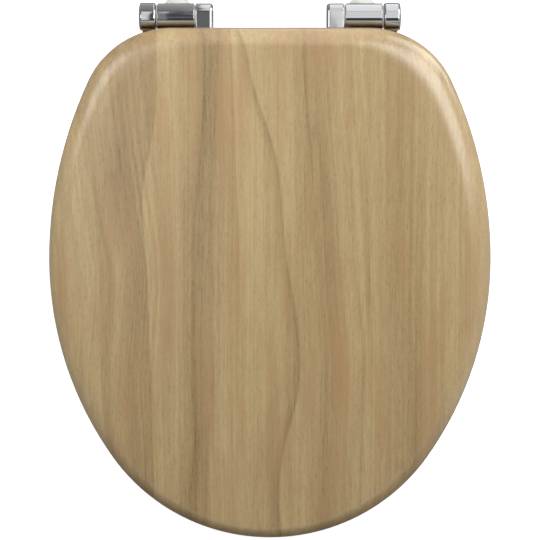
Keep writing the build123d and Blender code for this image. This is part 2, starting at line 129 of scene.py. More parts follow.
# Edges of the growth rings on the lid, in mm. Each has how far the print darkens (minus) or lightens at
# the edge and over what width, first on its left and then on its right. An edge that dies out on the way
# has the y where it is gone and the y where it is whole. Last is the edge itself, as (y, x) points from
# the rear to the front.
RING_EDGES = (
    ((5, 48), (-2, 14), None,
     ((-60, -161), (-105, -154), (-146, -146), (-199, -142), (-239, -140), (-282, -142), (-341, -137),
      (-420, -130))),
    ((-5, 40), (-3, 10), None,
     ((-30, -148), (-71, -141), (-121, -133), (-180, -129), (-222, -128), (-269, -132), (-333, -130),
      (-420, -124))),
    ((-16, 40), (-16, 26), (-200, -130),
     ((-10, -116), (-80, -122), (-140, -126), (-240, -130))),
    ((-5, 34), (-9, 4), None,
     ((-30, -127), (-80, -122), (-130, -116), (-172, -110), (-205, -104), (-256, -106), (-299, -109),
      (-350, -106), (-420, -103))),
    ((-15, 46), (2, 4), None,
     ((-10, -93), (-49, -93), (-80, -95), (-105, -99), (-141, -105), (-199, -102), (-268, -100),
      (-333, -98), (-430, -97))),
    ((-14, 20), (-19, 11), None,
     ((-10, -56), (-63, -55), (-105, -58), (-146, -62), (-199, -63), (-265, -64), (-316, -63),
      (-350, -63), (-406, -68), (-430, -70))),
    ((-12, 26), (-18, 7), None,
     ((-10, -43), (-63, -45), (-113, -48), (-146, -50), (-199, -51), (-265, -51), (-316, -50),
      (-359, -53), (-410, -55), (-430, -56))),
    ((-9, 44), (11, 24), (-250, -205),
     ((-10, -32), (-80, -29), (-121, -28), (-172, -26), (-222, -25), (-300, -24))),
    ((-21, 10), (-11, 2), None,
     ((-8, -25), (-21, -20), (-42, -16), (-63, -10), (-84, -3), (-105, 3), (-130, 8), (-167, 11),
      (-199, 14), (-226, 19), (-256, 23), (-286, 25), (-316, 22), (-350, 13), (-384, 8), (-426, 9))),
    ((-4, 7), (-6, 44), (-160, -195),
     ((-120, -14), (-176, -4), (-199, 1), (-239, 10), (-273, 14), (-299, 9), (-324, 0), (-354, -7),
      (-393, -14), (-430, -17))),
    ((-9, 22), (-18, 27), None,
     ((-10, 26), (-63, 29), (-105, 33), (-146, 36), (-199, 39), (-239, 42), (-273, 45), (-316, 45),
      (-384, 43), (-430, 42))),
    ((-7, 22), (-5, 44), (-270, -235),
     ((-10, 49), (-105, 50), (-172, 53), (-222, 59), (-256, 62), (-300, 66))),
    ((-4, 5), (-7, 3), None,
     ((-10, 63), (-105, 66), (-172, 68), (-199, 69), (-239, 74), (-273, 78), (-316, 78), (-384, 76),
      (-430, 75))),
    ((-9, 14), (-5, 8), None,
     ((-10, 84), (-63, 83), (-146, 83), (-222, 83), (-299, 80), (-350, 72), (-430, 67))),
    ((-17, 36), (-19, 22), None,
     ((-20, 110), (-80, 114), (-146, 116), (-199, 115), (-265, 117), (-341, 119), (-430, 121))),
    ((-8, 15), (-8, 10), None,
     ((-40, 142), (-88, 139), (-146, 139), (-199, 135), (-256, 137), (-316, 140), (-400, 143))),
)
# Edges that the fine grain beside them follows: number in the list, its usual x, and where its pull
# on the grain starts, is full from and to, and ends, in mm
GRAIN_GUIDES = ((3, -109, (-215, -140, -118, -66)), (10, 39, (15, 45, 70, 105)))

# Lamps: width, depth, place and aim in metres. The panels are dim and large, for the chrome to mirror.
LAMP_AIM = (0, -0.2, 0.04)
LAMPS = {
    "key": (0.64, 0.6, (0.57, 0.12, 0.96), LAMP_AIM),
    "fill": (0.5, 0.4, (-0.64, 0.15, 0.86), LAMP_AIM),
    "rear_right": (0.75, 0.7, (0.82, 0.74, 0.54), LAMP_AIM),
    "rear_left": (0.6, 0.6, (-0.72, 0.7, 0.6), LAMP_AIM),
    "low_right": (0.7, 0.34, (1.0, 0.5, 0.12), LAMP_AIM),
    "panel_right": (0.34, 1.44, (0.225, 0.68, 1.15), (0.225, 0.68, 0)),
    "panel_middle": (0.136, 0.95, (-0.013, 0.925, 1.15), (-0.013, 0.925, 0)),
    "panel_back": (0.492, 2.75, (0.164, 1.5, -0.225), (0.164, 0, -0.225)),
    "panel_left": (0.34, 1.8, (-0.297, 0.5, 1.15), (-0.297, 0.5, 0)),
}
# Brightness of the surroundings by angle from straight up, minus in front and plus behind; and at either
# side, with the x where that starts and the x where it is whole
SKY_BANDS = ((-180, 0.3), (-90, 0.08), (-60, 0.1), (-44, 0.2), (-37, 0.6), (-29, 0.8), (-24, 0.07),
             (-5, 0.08), (0, 0.2), (5, 0.22), (10, 0.1), (30, 0.1), (54, 0.18), (64, 0.3), (95, 0.4),
             (121, 0.48), (138, 0.7), (152, 0.3), (180, 0.1))
SKY_SIDES = ((0.51, 0.85, 0.6), (-0.51, -0.85, 0.36))
LOOK_AT = (0.0001, -0.205, 0.045)
LOOK_DROP = 0.0013  # the picture's middle lies this far below that spot
FLOOR_RADIUS = 9
FLOOR_GAP = 0.0005  # below the lowest point of the part


def linear(code):
    """Turn an sRGB hex colour into linear RGBA."""
    channels = [int(code[k:k + 2], 16) / 255 for k in (0, 2, 4)]
    return tuple(c / 12.92 if c <= 0.04045 else ((c + 0.055) / 1.055) ** 2.4 for c in channels) + (1.0,)


def grey(value):
    """A linear grey."""
    return (value, value, value, 1.0)


def setting(about, value, unit="NONE", subtype="NONE", precision=2):
    """A number property, still to be named."""
    return lambda name: FloatProperty(name=name, description=about, default=value, unit=unit,
                                      subtype=subtype, precision=precision)


def size(about, millimetres):
    """A length property, given in millimetres."""
    return setting(about, millimetres / 1000, "LENGTH", "DISTANCE", 5)


def angle(about, degrees):
    """An angle property, given in degrees."""
    return setting(about, radians(degrees), "ROTATION", "ANGLE")


def colour(about, code):
    """A colour property, given as an sRGB hex value and still to be named."""
    return lambda name: FloatVectorProperty(name=name, description=about, default=linear(code),
                                            subtype="COLOR", size=4, min=0, max=1)


def named(group):
    """Name each property of a group after itself."""
    for key, unnamed in group.__annotations__.items():
        group.__annotations__[key] = unnamed(key.replace("_", " ").capitalize())
    return group


@named
class SeatBoards(bpy.types.PropertyGroup):
    """Sizes of the lid and the ring that their boxes don't give."""

    rear_flat: size("Straight length of the rear edge", 161)
    lid_widest: size("From the lid's rear edge to its widest line", 196)
    lid_top_flat: size("Straight length at the rear of the lid's flat top", 112)
    lid_edge_rear: size("Width of the round along the lid's rear edge", 13.5)
    lid_edge_side: size("Width of that round at the widest line", 19)
    lid_edge_front: size("Width of that round at the front", 12)
    lid_edge_height: size("Height of that round", 11.5)
    lid_bottom_round: size("Radius of the lid's lower edge", 4.5)
    ring_top_round: size("Radius of the ring's upper edges", 7)
    ring_bottom_round: size("Radius of the ring's lower edges", 4)
    opening_width: size("Across the ring's opening", 224)
    opening_length: size("Along the ring's opening", 282)
    opening_flat: size("Straight length at the opening's rear", 44)
    opening_widest: size("From the opening's rear to its widest line", 128)
    front_rim: size("From the opening to the ring's front edge", 60)
    rear_turn: angle("Where a side arc gives way to the rear corner", 25)
    front_turn: angle("Where a flank arc gives way to the nose", 34.5)
    bumper_length: size("Along a bumper's pad", 26)
    bumper_width: size("Across a bumper's pad", 12)
    bumper_round: size("Radius of a pad's lower edge", 2.5)


@named
class SeatHinges(bpy.types.PropertyGroup):
    """Sizes of the hinge castings and their screws."""

    knuckle_radius: size("Outside radius of barrels and inner knuckles", 11)
    knuckle_length: size("Length of one knuckle along the axis", 14.4)
    barrel_round: size("Radius at the ends of the barrels", 0.6)
    cap_radius: size("Outside radius of the outer knuckles", 11.5)
    cap_dome: size("Rise of the dome at an outer knuckle's free end", 1)
    cap_round: size("Radius at the ends of the outer knuckles", 2)
    bore_radius: size("Bore of a barrel, which the damper fills", 7.6)
    arm_slope: angle("Fall of an inner knuckle's flat top to the rear", 6)
    arm_crown: size("Radius where the flat top meets the knuckle's back", 6)
    arm_nose: size("Radius where the flat top turns down in front", 3.2)
    arm_free: size("Radius along an inner knuckle's free side", 3)
    arm_barrel: size("Radius along an inner knuckle's barrel side", 0.8)
    leaf_thickness: size("Thickness of arms and plates", 3.5)
    plate_width: size("Across a leaf's plate", 26)
    plate_length: size("Along a leaf's plate", 32)
    plate_corner: size("Corner radius of a leaf's plate", 6)
    arm_inset: size("How far a ring arm stands in from its knuckle's ends", 2.5)
    web_front: size("From the axis to the front of a ring arm's web", 10)
    web_back: size("From the axis to the back of a ring arm's web", 4)
    web_round: size("Radius at the heel of a ring arm", 3)
    foot_length: size("Along a post's foot", 28)
    foot_depth: size("Across a post's foot", 12.5)
    foot_height: size("Height of a post's foot", 4)
    neck_length: size("Along a post's neck", 22)
    neck_depth: size("Across a post's neck", 11.5)
    screw_radius: size("Radius of a leaf screw's shank", 2)
    screw_head: size("Radius of a leaf screw's countersunk head", 3.8)
    screw_length: size("Length of a leaf screw", 13)
    screw_edge: size("From a plate's end to its screws", 8)
    screw_spread: size("Between the two front screws", 15)
    recess_reach: size("Half the length of the cross recess", 2.1)
    recess_width: size("Half the width of the cross recess", 0.5)
    recess_depth: size("Depth of the cross recess", 1.5)


@named
class SeatFixings(bpy.types.PropertyGroup):
    """Sizes of what holds the seat to the pan."""

    shank_radius: size("Plain part of a stud", 4)
    shank_length: size("Length of a stud's plain part", 28)
    thread_crest: size("Outside radius of the stud's thread", 3.95)
    thread_root: size("Core radius of the stud's thread", 3.3)
    thread_pitch: size("Pitch of the stud's thread", 1.25)
    bush_bore: size("Bore of cone, washer and nut", 3.65)
    cone_top: size("Radius of a cone bush at its top", 7)
    nut_radius: size("Radius of a wing nut's hub", 7)
    nut_height: size("Height of a wing nut's hub", 12)
    wing_thickness: size("Thickness of a nut's wings", 3.6)
    wing_round: size("Corner radius of a nut's wings", 3)
    gasket_hole: size("Radius of the hole in a gasket", 4.5)
    spacer_hole: size("Radius of the hole in a spacer", 3.4)


@named
class SeatColours(bpy.types.PropertyGroup):
    """Colours of the finishes."""

    decor_dark: colour("Latewood streaks of the wood decor", "705632")
    decor_mid: colour("Body of the wood decor", "A68D62")
    decor_light: colour("Earlywood of the wood decor", "BDA578")
    decor_warm: colour("Pinkish patches of the wood decor", "A8835A")
    chrome: colour("Chromium plating", "BFC0C2")
    zinc: colour("Zinc plating on screws and studs", "B9BCBE")
    steel: colour("Ground steel of the pivot pins", "A9A9A8")
    bumper: colour("Soft bumpers", "E6E4DC")
    damper: colour("Damper cartridges", "2B2C2E")
    seal: colour("Damper seals", "191919")
    spacer: colour("Spacers between the knuckles", "E9E8E3")
    gasket: colour("Gaskets under the posts", "C9CACA")
    clamp: colour("Cones, washers and wing nuts", "E4E3DE")
    floor: colour("Studio floor", "F4F4F3")


@named
class SeatStudio(bpy.types.PropertyGroup):
    """Camera and light."""

    tilt: angle("Lean of the view from straight above towards the rear", 11.09)
    distance: size("From the camera to the lid", 3500)
    lens: setting("Focal length for a 36 mm sensor", 281.17, "CAMERA", "DISTANCE_CAMERA")
    key_power: setting("Soft light at the right", 4.7, "POWER")
    fill_power: setting("Weaker soft light at the left", 1.9, "POWER")
    rear_right_power: setting("Low soft light at the rear right", 5.4, "POWER")
    rear_left_power: setting("Low soft light at the rear left", 5.8, "POWER")
    low_right_power: setting("Soft light near the floor at the rear right", 2.4, "POWER")
    panel_glow: setting("Glow of the dim panels that the hinges mirror", 1.0)
    table_glow: setting("Light that comes up through the floor", 0.7)
    sky: setting("Strength of the studio's surroundings", 1.0)


def put(thing, **settings):
    """Set attributes of a thing by name; returns the thing."""
    for name, value in settings.items():
        setattr(thing, name, value)
    return thing


def add(name, data, **settings):
    """Add an object to the scene with its settings."""
    made = put(bpy.data.objects.new(name, data), **settings)
    bpy.context.scene.collection.objects.link(made)
    return made


def node(tree, kind, inputs=(), **settings):
    """Add a shader node with its settings.

    Its inputs, by name or in the node's own order, are values, sockets to link, or nodes to link by
    their first output.
    """
    made = put(tree.nodes.new("ShaderNode" + kind), **settings)
    for key, value in inputs.items() if isinstance(inputs, dict) else enumerate(inputs):
        if isinstance(value, bpy.types.Node):
            value = value.outputs[0]
        if isinstance(value, bpy.types.NodeSocket):
            tree.links.new(value, made.inputs[key])
        else:
            made.inputs[key].default_value = value
    return made


def material(name):
    """Start a material; returns it, its empty tree and the place on the piece, in metres."""
    made = bpy.data.materials.new(name)
    made.use_nodes = True
    tree = made.node_tree
    tree.nodes.clear()
    return made, tree, node(tree, "TexCoord").outputs["Object"]


def surface(made, inputs):
    """Finish a material with its shader."""
    shader = node(made.node_tree, "BsdfPrincipled", inputs)
    node(made.node_tree, "OutputMaterial", (shader,))
    return made


def mottled(tree, place, base, share, patch, detail):
    """A colour that wanders down to a share of its strength, in patches of a size in metres."""
    cloud = node(tree, "TexNoise", {"Vector": place, "Scale": 1 / patch, "Detail": detail})
    dull = tuple(c * share for c in base[:3]) + (1.0,)
    return node(tree, "Mix", {"Factor": cloud, "A": base, "B": dull}, data_type="RGBA").outputs[2]


def grain(tree, spot, wide, long, detail=2.0):
    """Noise in streaks of a width across the grain and a length along it, in mm."""
    scaled = node(tree, "VectorMath", (spot, (1 / wide, 1 / long, 1 / wide)), operation="MULTIPLY")
    return node(tree, "TexNoise", {"Vector": scaled, "Scale": 1.0, "Detail": detail})


def ring_edge(tree, reach, line):
    """The curve of a ring's edge, from 0 to 1 across the print, by the share of its length."""
    edge = node(tree, "FloatCurve", {"Value": reach})
    points = edge.mapping.curves[0].points
    ordered = sorted(((y + PRINT_LENGTH) / PRINT_LENGTH, (x + PRINT_WIDTH / 2) / PRINT_WIDTH)
                     for y, x in line)
    points[0].location = ordered[0]
    points[1].location = ordered[-1]
    for point in ordered[1:-1]:
        points.new(*point)
    edge.mapping.update()
    return edge


def ring_tone(tree, edge, x, left, right):
    """The print's tone on either side of a ring's edge, 0 where the ring has no share in it."""
    offset = node(tree, "Math", (edge, -PRINT_WIDTH, x), operation="MULTIPLY_ADD")
    beside = node(tree, "MapRange", (offset, -PRINT_WIDTH / 2 - left[1], -PRINT_WIDTH / 2 + right[1]))
    middle = left[1] / (left[1] + right[1])
    soft = RING_SOFT / (left[1] + right[1])
    rows = [(way * middle, share * left[0]) for way, share in RING_FADE]
    rows += [(middle - soft, left[0]), (middle + soft, right[0])]
    rows += [(1 - way * (1 - middle), share * right[0]) for way, share in reversed(RING_FADE)]
    band = node(tree, "ValToRGB", (beside,))
    stops = band.color_ramp.elements
    for stop in stops:
        stop.color = grey(0.5)
    for where, level in rows:
        stops.new(where).color = grey(0.5 + level / RING_RANGE)
    return node(tree, "Math", (band, 0.5), operation="SUBTRACT")


def wood_decor(name, across, along):
    """Wood-decor foil on pressed board, lacquered.

    Long growth rings that darken slowly and end in a sharp edge, crossed by fine dark pores, all
    printed, so the surface itself is even and has the soft gloss of a satin lacquer. across and
    along place the board on the printed pattern: a board with another share of it isn't a copy.
    """
    colours = bpy.context.scene.seat_colours
    made, tree, place = material(name)
    spot = node(tree, "VectorMath", (place, (1000 * across, 1000 * along, 1000)), operation="MULTIPLY")
    x, y, z = node(tree, "SeparateXYZ", (spot,)).outputs

    # Growth rings: one curve along the board for each edge, and the print's tone on either side of it
    reach = node(tree, "MapRange", (y, -PRINT_LENGTH, 0))
    edges = []
    rings = None
    for left, right, fade, line in RING_EDGES:
        edges.append(ring_edge(tree, reach, line))
        tone = ring_tone(tree, edges[-1], x, left, right)
        if fade:
            tone = node(tree, "Math", (tone, node(tree, "MapRange", (y, *fade))), operation="MULTIPLY")
        rings = node(tree, "Math", (rings, tone), operation="ADD") if rings else tone

    # Fibres and pores run straight but for a sway of a few millimetres; streaks also follow the
    # nearest edges
    bent = node(tree, "Math", (grain(tree, spot, 70, 240), 7, x), operation="MULTIPLY_ADD")
    fibres = node(tree, "CombineXYZ", (bent, y, z))
    for number, usual, (start, full, still, end) in GRAIN_GUIDES:
        rise, fall = (node(tree, "MapRange", (x, none, whole), interpolation_type="SMOOTHSTEP")
                      for none, whole in ((start, full), (end, still)))
        pull = node(tree, "Math", (rise, fall), operation="MULTIPLY")
        moved = node(tree, "Math", (edges[number], -PRINT_WIDTH, PRINT_WIDTH / 2 + usual),
                     operation="MULTIPLY_ADD")
        bent = node(tree, "Math", (moved, pull, bent), operation="MULTIPLY_ADD")
    streaks = node(tree, "CombineXYZ", (bent, y, z))

    # Fibres and pores are drawn a little coarser than the print's, to show
    fibre = grain(tree, fibres, 0.75, 20)
    tone = pores = node(tree, "MapRange", (grain(tree, fibres, 0.7, 4, 1.0), 0.34, 0.46, -0.17, 0))
    for layer, share in ((rings, 1.12), (grain(tree, streaks, 8, 420), 0.44),
                         (grain(tree, streaks, 2.6, 380), 0.56), (fibre, 0.56)):
        tone = node(tree, "Math", (layer, share, tone), operation="MULTIPLY_ADD")
    tone = node(tree, "Math", (tone, 0.04), operation="ADD")
    shades = node(tree, "ValToRGB", (tone,))
    stops = shades.color_ramp.elements
    stops[0].color = colours.decor_dark
    stops[1].color = colours.decor_light
    stops.new(0.6).color = colours.decor_mid
    warm = node(tree, "MapRange", (grain(tree, fibres, 18, 110), 0.45, 0.75, 0, 0.6))
    tint = node(tree, "Mix", {"Factor": warm, "A": shades, "B": colours.decor_warm}, data_type="RGBA")
    gloss = node(tree, "MapRange", (fibre, 0, 1, 0.26, 0.36))
    bump = node(tree, "Bump", {"Height": pores, "Strength": 0.25, "Distance": 0.00006})
    return surface(made, {"Base Color": tint.outputs[2], "Roughness": gloss, "Normal": bump,
                          "Specular IOR Level": 1.0, "Coat Weight": 0.55, "Coat Roughness": 0.2})


def plated(name, base, rough, spread, wave):
    """Plated metal: a mirror over the casting or forging below, never quite even.

    rough and spread set its gloss and how far that wanders; wave is the size in metres of the slow
    ripples that polishing leaves.
    """
    made, tree, place = material(name)
    haze = node(tree, "TexNoise", {"Vector": place, "Scale": 1 / 0.009, "Detail": 4.0})
    gloss = node(tree, "MapRange", (haze, 0.3, 0.7, rough, rough + spread))
    ripple = node(tree, "TexNoise", {"Vector": place, "Scale": 1 / wave, "Detail": 1.0})
    bump = node(tree, "Bump", {"Height": ripple, "Strength": 0.05, "Distance": wave / 10})
    return surface(made, {"Base Color": base, "Metallic": 1.0, "Roughness": gloss, "Normal": bump})


def moulded(name, base, rough, grit, glow=0.0):
    """Moulded plastic or rubber: a satin skin with the fine texture of its mould and faint flow marks.

    grit is the size in metres of the mould's texture, drawn coarse enough to show; glow lets light
    sink in, as it does in unfilled polymers.
    """
    made, tree, place = material(name)
    speck = node(tree, "TexNoise", {"Vector": place, "Scale": 1 / grit, "Detail": 2.0})
    gloss = node(tree, "MapRange", (speck, 0, 1, rough - 0.06, rough + 0.06))
    bump = node(tree, "Bump", {"Height": speck, "Strength": 0.2, "Distance": grit / 8})
    return surface(made, {"Base Color": mottled(tree, place, base, 0.86, 0.012, 3.0), "Roughness": gloss,
                          "Normal": bump, "Subsurface Weight": glow,
                          "Subsurface Radius": (0.002, 0.002, 0.0018)})


class Shape:
    """Points and faces of one piece, gathered from the forms that make it up."""

    def __init__(self):
        self.points = []
        self.faces = []

    def skin(self, rings, closed=False):
        """Skin a row of rings with as many points each; an open row is capped at both ends."""
        first = len(self.points)
        rows = len(rings)
        count = len(rings[0])
        for ring in rings:
            self.points.extend(ring)
        for row in range(rows if closed else rows - 1):
            low = first + row * count
            high = first + (row + 1) % rows * count
            for k in range(count):
                after = (k + 1) % count
                self.faces.append((low + k, low + after, high + after, high + k))
        if not closed:
            self.faces.append(tuple(range(first, first + count)))
            self.faces.append(tuple(range(first + (rows - 1) * count, first + rows * count)))
        return self

    def turned(self, profile, place, steps=64, closed=False):
        """Turn a profile of (radius, distance along) about the axis that place gives."""
        return self.skin([[place(u, v, along) for u, v in circle(radius, steps)]
                          for radius, along in profile], closed)

    def prism(self, outline, place, low, high, low_round, high_round, steps=5):
        """Raise an outline from low to high along the axis that place gives, with rounded edges."""
        return self.skin([[place(p.x, p.y, along) for p in inset(outline, amount)]
                          for amount, along in rounded(low, high, low_round, high_round, steps)])

    def mesh(self, name):
        """A mesh of the shape, welded, with all faces turned outwards."""
        made = bpy.data.meshes.new(name)
        made.from_pydata(self.points, [], self.faces)
        work = bmesh.new()
        work.from_mesh(made)
        bmesh.ops.remove_doubles(work, verts=work.verts, dist=1e-7)
        bmesh.ops.recalc_face_normals(work, faces=work.faces)
        work.to_mesh(made)
        work.free()
        return made

    def piece(self, name, body, cad_node, slot, look, cutter=None):
        """Make the piece, cut and eased if it has a cutter, on its body and in place of its CAD node."""
        made = add(name, self.mesh(name))
        if cutter:
            cut(made, cutter)
            put(made.modifiers.new("eased edges", "BEVEL"), width=EASE, segments=3, limit_method="ANGLE",
                angle_limit=SHARP)
        put(made.modifiers.new("flats stay flat", "WEIGHTED_NORMAL"), keep_sharp=True)
        mesh = made.data
        mesh.materials.clear()
        mesh.materials.append(look)
        mesh.polygons.foreach_set("use_smooth", [True] * len(mesh.polygons))
        mesh.set_sharp_from_angle(angle=SHARP)
        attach(made, body)
        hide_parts(cad_node)


def cut(made, cutter):
    """Cut one shape out of a piece for good."""
    tool = add("cutter", cutter.mesh("cutter"))
    step = put(made.modifiers.new("cut", "BOOLEAN"), object=tool, operation="DIFFERENCE", solver="EXACT",
               use_self=True)
    result = bpy.data.meshes.new_from_object(made.evaluated_get(bpy.context.evaluated_depsgraph_get()))
    made.modifiers.remove(step)
    made.data = result
    bpy.data.objects.remove(tool)


def inset(outline, amount):
    """Move each point of an anticlockwise outline inwards so that its sides stay parallel."""
    moved = []
    for k, here in enumerate(outline):
        before = (here - outline[k - 1]).normalized()
        after = (outline[(k + 1) % len(outline)] - here).normalized()
        mitre = Vector((-before.y - after.y, before.x + after.x))
        moved.append(here + mitre * (2 * amount / mitre.length_squared))
    return moved


def circle(radius, steps, start=0.0):
    """Pairs of coordinates round a circle."""
    turns = [2 * pi * k / steps + start for k in range(steps)]
    return [(radius * cos(turn), radius * sin(turn)) for turn in turns]


def arc(centre, radius, start, end, steps):
    """Points along an arc, in radians, both ends included."""
    turns = [start + (end - start) * k / steps for k in range(steps + 1)]
    return [Vector((centre[0] + radius * cos(turn), centre[1] + radius * sin(turn))) for turn in turns]


def rounded(low, high, low_round, high_round, steps):
    """Pairs of shrink and level up a side that is rounded below and above; one step is a chamfer."""
    turns = [pi / 2 * k / steps for k in range(steps + 1)]
    return ([(low_round * (1 - sin(turn)), low + low_round * (1 - cos(turn))) for turn in turns]
            + [(high_round * (1 - cos(turn)), high - high_round * (1 - sin(turn))) for turn in turns])


def sleeve(bore, outer, low, high, turn, steps=1):
    """Closed profile of a sleeve or washer whose outer edges are rounded."""
    sides = [(outer - shrink, along) for shrink, along in rounded(low, high, turn, turn, steps)]
    return [(bore, low)] + sides + [(bore, high)]


def slot_outline(length, width):
    """A slot, long in its first direction."""
    end = (length - width) / 2
    return (arc((end, 0), width / 2, -pi / 2, pi / 2, 14)
            + arc((-end, 0), width / 2, pi / 2, 3 * pi / 2, 14))


def plate_outline(width, length, corner, middle):
    """A rectangle with rounded corners."""
    points = []
    for k, (right, up) in enumerate(((1, 1), (-1, 1), (-1, -1), (1, -1))):
        centre = (middle[0] + right * (width / 2 - corner), middle[1] + up * (length / 2 - corner))
        points += arc(centre, corner, k * pi / 2, (k + 1) * pi / 2, 8)
    return points


def arc_pair(across, along, turn):
    """Radii of the tight and the long arc that together turn a quarter, tangent at an angle."""
    share = tan(turn / 2)
    tight = (across - along * share) / (1 - share)
    return tight, tight + (along - tight) / sin(turn)


def seat_outline(width, rear, front, flat, widest, swell, level):
    """Points round a seat shape at a level, swollen or shrunk alike all round."""
    boards = bpy.context.scene.seat_boards
    half = width / 2
    waist = rear - widest
    corner, side = arc_pair(half - flat / 2, widest, boards.rear_turn)
    nose, flank = arc_pair(half, waist - front, boards.front_turn)
    right = [Vector((flat / 2 * k / 8, rear + swell)) for k in range(8)]
    right += arc((flat / 2, rear - corner), corner + swell, pi / 2, boards.rear_turn, 26)
    right += arc((half - side, waist), side + swell, boards.rear_turn, 0, 14)[1:]
    right += arc((half - flank, waist), flank + swell, 0, -boards.front_turn, 16)[1:]
    right += arc((0, front + nose), nose + swell, -boards.front_turn, -pi / 2, 24)[1:]
    return [(p.x, p.y, level) for p in right] + [(-p.x, p.y, level) for p in reversed(right[1:-1])]


def edge_levels(low, high, low_round, high_round, steps=12):
    """Pairs of shrink and level up a board's rounded edge, with a strip of flat below and above."""
    sides = rounded(low, high, low_round, high_round, steps)
    return [(low_round + STRIP, low)] + sides + [(high_round + STRIP, high)]


def lid_rings(low, high, boards, steps=16):
    """Rings up the lid's edge: rounded below, upright for a little, then a quarter ellipse to the top."""
    fall = boards.lid_edge_height
    levels = edge_levels(low.z, high.z, boards.lid_bottom_round, fall, steps)

    def outline(shrink, share, level):
        return seat_outline(high.x - low.x - 2 * boards.lid_edge_side * share,
                            high.y - boards.lid_edge_rear * share, low.y + boards.lid_edge_front * share,
                            boards.rear_flat - (boards.rear_flat - boards.lid_top_flat) * share,
                            boards.lid_widest - boards.lid_edge_rear * share, -shrink, level)

    rings = [outline(shrink, 0, level) for shrink, level in levels[:steps + 2]]
    rings += [outline(0, shrink / fall, level) for shrink, level in levels[steps + 2:-1]]
    return rings + [outline(STRIP, 1, high.z)]


def along_x(y, z):
    """Place for forms turned or raised along X, about a line through y and z."""
    return lambda u, v, w: (w, y - u, z + v)


def along_z(x, y):
    """Place for forms turned or raised along Z, about a line through x and y."""
    return lambda u, v, w: (x + u, y + v, w)


def middle_x(name):
    """Middle of a CAD node along X."""
    low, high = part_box(name)
    return (low.x + high.x) / 2


def hinge_axis():
    """Y and Z of the hinge axis, from a pivot pin."""
    low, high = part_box("pivot_pin_left")
    return (low.y + high.y) / 2, (low.z + high.z) / 2


def screw_places(leaf):
    """Centres of a leaf's three screws: one behind, two in front."""
    hinges = bpy.context.scene.seat_hinges
    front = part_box(leaf)[0].y
    x = middle_x(leaf)
    near = front + hinges.plate_length - hinges.screw_edge
    far = front + hinges.screw_edge
    half = hinges.screw_spread / 2
    return (x, near), (x - half, far), (x + half, far)


class SEAT_OT_boards(bpy.types.Operator):
    """Make the lid and the ring"""

    bl_idname = "seat.boards"
    bl_label = "Lid and Ring"

    def execute(self, context):
        boards = context.scene.seat_boards
        lid_low, lid_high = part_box("lid")
        Shape().skin(lid_rings(lid_low, lid_high, boards)).piece(
            "lid_board", "lid_body", "lid", "wood_decor", wood_decor("wood_decor_foil_on_board_lid", 1, 1))

        low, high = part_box("seat_ring")
        widest = high.y - lid_high.y + boards.lid_widest
        front = low.y + boards.front_rim
        levels = edge_levels(low.z, high.z, boards.ring_bottom_round, boards.ring_top_round)
        rings = [seat_outline(high.x - low.x, high.y, low.y, boards.rear_flat, widest, -shrink, level)
                 for shrink, level in levels]
        rings += [seat_outline(boards.opening_width, front + boards.opening_length, front,
                               boards.opening_flat, boards.opening_widest, shrink, level)
                  for shrink, level in reversed(levels)]
        Shape().skin(rings, closed=True).piece(
            "ring_board", "ring_body", "seat_ring", "wood_decor",
            wood_decor("wood_decor_foil_on_board_ring", -1, 0.94))
        return {"FINISHED"}


class SEAT_OT_bumpers(bpy.types.Operator):
    """Make the soft bumpers under the ring and the lid"""

    bl_idname = "seat.bumpers"
    bl_label = "Bumpers"

    def execute(self, context):
        boards = context.scene.seat_boards
        soft = moulded("polyethylene_moulded_bumper", context.scene.seat_colours.bumper, rough=0.42,
                       grit=0.0005, glow=0.15)
        outline = slot_outline(boards.bumper_length, boards.bumper_width)
        turn, steps = boards.bumper_round, 6
        for name in sorted(frame["nodes"]):
            if "_bumper_" not in name:
                continue
            board, body = ("lid", "lid_body") if name.startswith("lid") else ("seat_ring", "ring_body")
            low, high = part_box(name)
            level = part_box(board)[0].z
            sides = rounded(low.z + EASE, level, turn, 0, steps)[:steps + 1]
            rows = [(turn + amount, low.z + rise) for amount, rise in PAD_CROWN]
            rows += [(EASE + shrink, z) for shrink, z in sides] + [(0, level - EASE), (EASE, level)]
            x, y = middle_x(name), (low.y + high.y) / 2
            rings = [[(x + p.y, y + p.x, z) for p in inset(outline, amount)] for amount, z in rows]
            Shape().skin(rings).piece(name + "_pad", body, name, "bumper", soft)
        return {"FINISHED"}


